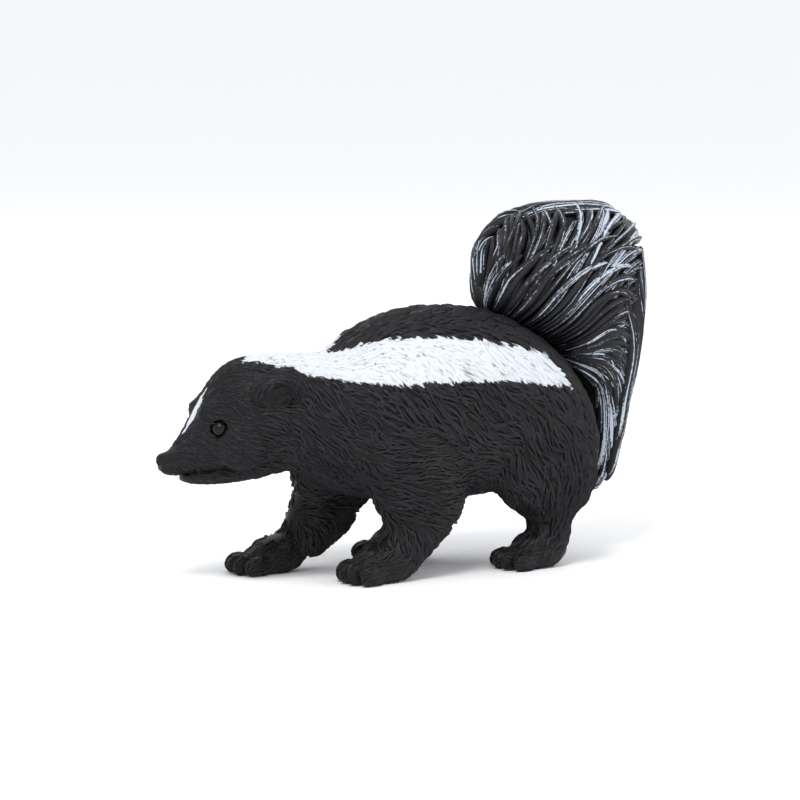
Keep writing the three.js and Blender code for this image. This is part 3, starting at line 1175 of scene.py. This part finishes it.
class Shader:
    """A material's node tree, with one way to add any node."""

    def __init__(self, name: str) -> None:
        """Starts a material with an empty tree."""
        self.material = bpy.data.materials.new(name)
        self.material.use_nodes = True
        self.tree = self.material.node_tree
        self.tree.nodes.clear()

    def add(self, kind: str, settings: dict[str, object], inputs: dict[str, object]) -> bpy.types.Node:
        """Adds a node.

        Args:
            kind: the node's type.
            settings: properties, set first.
            inputs: a value, a Sum or a socket for each named or numbered input.

        Returns:
            The new node.
        """
        node = self.tree.nodes.new(kind)
        for key, value in settings.items():
            setattr(node, key, value)
        for key, value in inputs.items():
            target = node.inputs[int(key)] if key.isdigit() else node.inputs[key]
            source = value.socket if isinstance(value, Sum) else value
            if isinstance(source, bpy.types.NodeSocket):
                self.tree.links.new(source, target)
            else:
                target.default_value = source
        return node

    def maths(self, operation: str, *values: Value, clamp: bool = False) -> Sum:
        """A Math node on up to three values."""
        inputs = {str(k): value for k, value in enumerate(values)}
        node = self.add("ShaderNodeMath", {"operation": operation, "use_clamp": clamp}, inputs)
        return Sum(self, node.outputs[0])

    def attribute(self, name: str) -> Sum:
        """A number kept on the piece."""
        return Sum(self, self.add("ShaderNodeAttribute", {"attribute_name": name}, {}).outputs["Fac"])

    def noise(self, scale: float, detail: float, place: object) -> Sum:
        """A Noise texture at a place, from about 0 to 1."""
        node = self.add("ShaderNodeTexNoise", {}, {"Scale": scale, "Detail": detail, "Vector": place})
        return Sum(self, node.outputs["Fac"])

    def place(self) -> bpy.types.NodeSocket:
        """Object coordinates, in metres."""
        return self.add("ShaderNodeTexCoord", {}, {}).outputs["Object"]

    def stretched(self, long: float, turn: float) -> bpy.types.NodeSocket:
        """Object coordinates drawn out along X after a turn about Y, in radians."""
        inputs = {"Vector": self.place(), "Rotation": (0.0, turn, 0.0), "Scale": (long, 1.0, 1.0)}
        return self.add("ShaderNodeMapping", {"vector_type": "TEXTURE"}, inputs).outputs["Vector"]

    def ramp(self, value: Sum, low: float, high: float) -> Sum:
        """Rises smoothly from 0 at low to 1 at high."""
        settings = {"interpolation_type": "SMOOTHSTEP"}
        inputs = {"Value": value, "From Min": low, "From Max": high}
        return Sum(self, self.add("ShaderNodeMapRange", settings, inputs).outputs["Result"])

    def mix(self, share: Value, first: object, second: object) -> bpy.types.NodeSocket:
        """A colour between two others."""
        inputs = {"Factor": share, "6": first, "7": second}
        return self.add("ShaderNodeMix", {"data_type": "RGBA"}, inputs).outputs[2]

    def finish(self, inputs: dict[str, object]) -> bpy.types.Material:
        """Closes the tree with a Principled shader and returns the material."""
        surface = self.add("ShaderNodeBsdfPrincipled", {}, inputs)
        self.add("ShaderNodeOutputMaterial", {}, {"Surface": surface.outputs[0]})
        return self.material


@dataclass(frozen=True)
class CoatFinish:
    """Satin black plastic with white paint whose edge follows the carving. Its crests are painted a lighter
    black, partly rubbed paint and partly a painted highlight, and its white has a bluish painted shade in the
    grooves. The lie is the hair's slope in radians, and the last four are how fine each noise is."""

    black: Colour = (0.004, 0.0036, 0.0043, 1.0)
    # Lighter black for the crests: partly rubbed paint, partly a painted highlight.
    worn: Colour = (0.021, 0.0195, 0.0225, 1.0)
    white: Colour = (0.6, 0.625, 0.66, 1.0)
    # Bluish grey: a painted shade for the white paint in the grooves and low on each ridge.
    shade: Colour = (0.47, 0.52, 0.6, 1.0)
    lie: float = -0.66
    gloss: float = 0.38
    hairs: float = 1900.0
    dashes: float = 1700.0
    clouds: float = 260.0
    grain: float = 2600.0

    def material(self) -> bpy.types.Material:
        """Lighter crests on black, partly rubbed paint and partly a painted highlight, and white where the
        paint's edge has been passed, with a bluish painted shade in its grooves and bare dashes in the
        grooves between the tufts."""
        made = Shader("coat")
        edge, crest = made.attribute("white"), made.attribute("crest")
        fine = made.noise(self.hairs, 2.0, made.stretched(7.0, self.lie))
        paint = made.ramp(edge + (fine - 0.5) * 1.5, -0.12, 0.16)
        dashes = made.noise(self.dashes, 1.0, made.stretched(9.0, self.lie))
        bare = made.ramp(dashes, 0.62, 0.7) * made.ramp(edge, 0.2, 1.2) * (1.0 - crest * 0.6)
        paint = paint * (1.0 - bare * 0.7)
        mottle = made.noise(self.clouds, 4.0, made.place())
        grain = made.noise(self.grain, 2.0, made.place())
        # Lighter black on the crests, partly rubbed paint and partly a painted highlight, with random mottle
        # and grain.
        wear_and_highlight = crest * crest * (0.35 + mottle) + (grain - 0.5) * 0.8
        dark = made.mix(wear_and_highlight.held(), self.black, self.worn)
        # The white turns to a bluish painted shade in the grooves and low on each ridge and is lighter on the
        # crests, with fine random streaks.
        light = made.mix(made.ramp(fine + crest * 0.3, 0.35, 0.62), self.shade, self.white)
        bump = made.add("ShaderNodeBump", {}, {"Strength": 0.4, "Distance": 0.00006, "Height": grain})
        return made.finish(
            {
                "Base Color": made.mix(paint, dark, light),
                "Roughness": self.gloss + mottle * 0.16 + paint * 0.1,
                "Normal": bump.outputs[0],
                "Specular IOR Level": 0.19,
            }
        )


@dataclass(frozen=True)
class TailFinish:
    """Satin black plastic with bluish white dragged over its strands by a dry brush, and crests painted a
    lighter black, partly rubbed paint and partly a painted highlight.
    """

    black: Colour = (0.0035, 0.0032, 0.004, 1.0)
    # Lighter black for the strands' crests: partly rubbed paint, partly a painted highlight.
    worn: Colour = (0.02, 0.02, 0.024, 1.0)
    white: Colour = (0.5, 0.56, 0.66, 1.0)
    gloss: float = 0.38

    def material(self) -> bpy.types.Material:
        """White where the crest, the brush's reach and thin streaks that run along the strand add up."""
        made = Shader("tail_coat")
        crest, brush, across = made.attribute("crest"), made.attribute("brush"), made.attribute("across")
        own, run = made.attribute("own"), made.attribute("run")
        inputs = {"X": across * 3.0, "Y": run * 1.8, "Z": own * 60.0}
        place = made.add("ShaderNodeCombineXYZ", {}, inputs)
        streak = made.noise(1.3, 3.0, place.outputs[0])
        speck = made.noise(2200.0, 2.0, made.place())
        reach = crest * 0.9 + brush * 0.5 + (streak - 0.5) * 2.0 + (speck - 0.5) * 0.6 + (own - 0.5) * 0.5
        paint = made.ramp(reach, 1.22, 1.42)
        # Lighter black on the crests: partly rubbed paint, partly a painted highlight.
        dark = made.mix(crest, self.black, self.worn)
        height = streak * 0.8 + speck * 0.3
        bump = made.add("ShaderNodeBump", {}, {"Strength": 0.5, "Distance": 0.00025, "Height": height})
        return made.finish(
            {
                "Base Color": made.mix(paint * 0.92, dark, self.white),
                "Roughness": self.gloss + paint * 0.2,
                "Normal": bump.outputs[0],
                "Specular IOR Level": 0.16,
            }
        )


@dataclass(frozen=True)
class EyeFinish:
    """Gloss black paint."""

    black: Colour = (0.003, 0.003, 0.0032, 1.0)
    amber: Colour = (0.008, 0.0065, 0.006, 1.0)

    def material(self) -> bpy.types.Material:
        """Almost plain, with a faint brown cloud."""
        made = Shader("eye_gloss")
        cloud = made.noise(700.0, 2.0, made.place())
        colour = made.mix(cloud, self.black, self.amber)
        return made.finish({"Base Color": colour, "Roughness": 0.16, "Specular IOR Level": 0.2})


# Sub-assemblies


@dataclass
class Skin:
    """The one skin of the figure's flesh."""

    figure: Figure
    stripe: Stripe
    step: float = 0.46
    nodes: tuple[str, ...] = (
        "head",
        "jaw",
        "ear_left",
        "ear_right",
        "neck",
        "torso",
        "leg_front_left",
        "leg_front_right",
        "leg_hind_left",
        "leg_hind_right",
        "tail",
    )

    def build(self, shop: Workshop, finish: bpy.types.Material) -> Array:
        """Nets the figure's field and puts the skin in; returns its vertices in millimetres."""
        low, high = np.array(cad_low) * 1000.0, np.array(cad_high) * 1000.0
        margin = 1.3
        step = self.step * 1.0
        p, faces = net(self.figure.distance, low - shop.shift - margin, high - shop.shift + margin, step)
        p[:, 2] = np.maximum(p[:, 2], 0.0)
        piece = shop.put("skin", p, faces, finish)
        shop.note(piece, "white", self.stripe.white(self.figure, p))
        # The skin between the tufts counts as 0.4 of a crest, so it takes some of the crests' lighter black,
        # part of it a painted highlight, and some of the white's lighter tone.
        shop.note(piece, "crest", np.full(len(p), 0.4))
        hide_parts(*self.nodes)
        return p


@dataclass
class Eyes:
    """The two gloss balls."""

    figure: Figure
    sides: int = 40
    rings: int = 24

    def build(self, shop: Workshop, finish: bpy.types.Material) -> None:
        """A ball as rings of points from pole to pole: radius times the sine of the angle down from the pole
        round Z, and times its cosine along Z."""
        for side in Side:
            down = np.linspace(0.0, np.pi, self.rings)[1:-1, None]
            around = np.linspace(0.0, 2.0 * np.pi, self.sides, endpoint=False)[None, :]
            out = np.sin(down)
            shell = np.stack([out * np.cos(around), out * np.sin(around), np.cos(down) + 0 * around], axis=-1)
            poles = np.array([[0.0, 0.0, 1.0], [0.0, 0.0, -1.0]])
            centre = np.array([EYE[0], side.value * EYE[1], EYE[2]])
            p = self.figure.from_head(centre + EYE_RADIUS * np.concatenate([shell.reshape(-1, 3), poles]))
            word = side.name.lower()
            piece = shop.put(f"eyeball_{word}", p, self.faces(), finish)
            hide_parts(f"eye_{word}")

    def faces(self) -> Faces:
        """Quads between the rings and triangles at the poles."""
        rows, last = self.rings - 2, (self.rings - 2) * self.sides
        around = np.arange(self.sides)
        after = (around + 1) % self.sides
        ring = np.arange(rows - 1)[:, None] * self.sides
        below = ring + self.sides
        quads = np.stack([ring + around, below + around, below + after, ring + after], axis=-1)
        low = (rows - 1) * self.sides
        top = np.stack([np.full(self.sides, last), around, after], axis=1)
        bottom = np.stack([np.full(self.sides, last + 1), low + after, low + around], axis=1)
        return quads.reshape(-1, 4).tolist() + top.tolist() + bottom.tolist()


@dataclass
class Studio:
    """The pale floor, the soft lights and the camera at the photo's angle."""

    azimuth: float = 31.55
    height: float = 7.17
    away: float = 773.0
    scale: float = 6.54
    target: tuple[float, float, float] = (0.1, 0.0, 26.17)
    image: float = 800.0
    sensor: float = 36.0

    def floor(self) -> None:
        """A wide pale sheet under the paws."""
        half = 3.0
        mesh = bpy.data.meshes.new("floor")
        corners = [(-half, -half, 0), (half, -half, 0), (half, half, 0), (-half, half, 0)]
        mesh.from_pydata(corners, [], [(0, 1, 2, 3)])
        pale = {"Base Color": (0.93, 0.93, 0.94, 1.0), "Roughness": 0.8, "Specular IOR Level": 0.1}
        mesh.materials.append(Shader("floor").finish(pale))
        sheet = bpy.data.objects.new("floor", mesh)
        bpy.context.scene.collection.objects.link(sheet)

    def lamp(self, name: str, place: tuple[float, float, float], size: float, power: float) -> None:
        """A square lamp that faces the figure."""
        data = bpy.data.lights.new(name, "AREA")
        data.size = size
        data.energy = power
        made = bpy.data.objects.new(name, data)
        made.location = place
        aim = Vector((0.0, 0.0, 0.025)) - Vector(place)
        made.rotation_euler = aim.to_track_quat("-Z", "Y").to_euler()
        bpy.context.scene.collection.objects.link(made)

    def lights(self) -> None:
        """A key from above the head, a fill from the tail's side and a rim from behind, in a white room."""
        self.lamp("key", (0.2, 0.2, 0.42), 0.16, 1.3)
        self.lamp("fill", (-0.4, 0.35, 0.2), 0.3, 0.5)
        self.lamp("rim", (-0.15, -0.35, 0.4), 0.3, 0.3)
        world = bpy.data.worlds.new("room")
        world.use_nodes = True
        room = world.node_tree.nodes["Background"]
        room.inputs["Color"].default_value = (0.98, 0.99, 1.0, 1.0)
        room.inputs["Strength"].default_value = 1.0
        bpy.context.scene.world = world
        bpy.context.scene.view_settings.view_transform = "Standard"

    def camera(self, shop: Workshop) -> None:
        """A long lens from the figure's left front, a little above its middle."""
        a, e = math.radians(self.azimuth), math.radians(self.height)
        back = Vector((math.sin(a) * math.cos(e), math.cos(a) * math.cos(e), math.sin(e)))
        data = bpy.data.cameras.new("camera")
        data.sensor_width = self.sensor
        data.lens = self.scale * self.away / self.image * self.sensor
        data.clip_start, data.clip_end = 0.01, 20.0
        made = bpy.data.objects.new("camera", data)
        aim = Vector(shop.metres(np.array(self.target)))
        turn = back.to_track_quat("Z", "Y").to_matrix().to_4x4()
        made.matrix_world = Matrix.Translation(aim + back * self.away * 0.001) @ turn
        bpy.context.scene.collection.objects.link(made)
        bpy.context.scene.camera = made


def main() -> None:
    """Builds the studio, the skin, the eyes, the coat and the tail."""
    logging.basicConfig(level=logging.INFO, format="%(message)s")
    log.info("%d packed nodes", len(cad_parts))
    shop, figure, stripe = Workshop(), Figure(), Stripe()
    studio = Studio()
    studio.camera(shop)
    studio.floor()
    studio.lights()
    coat_finish, tail_finish = CoatFinish().material(), TailFinish().material()
    skin = Skin(figure, stripe).build(shop, coat_finish)
    Eyes(figure).build(shop, EyeFinish().material())
    coat = Coat(figure, Lie(), stripe)
    coat.tufts(shop, skin, coat_finish)
    coat.strands(shop, tail_finish)


if __name__ == "__main__":
    main()
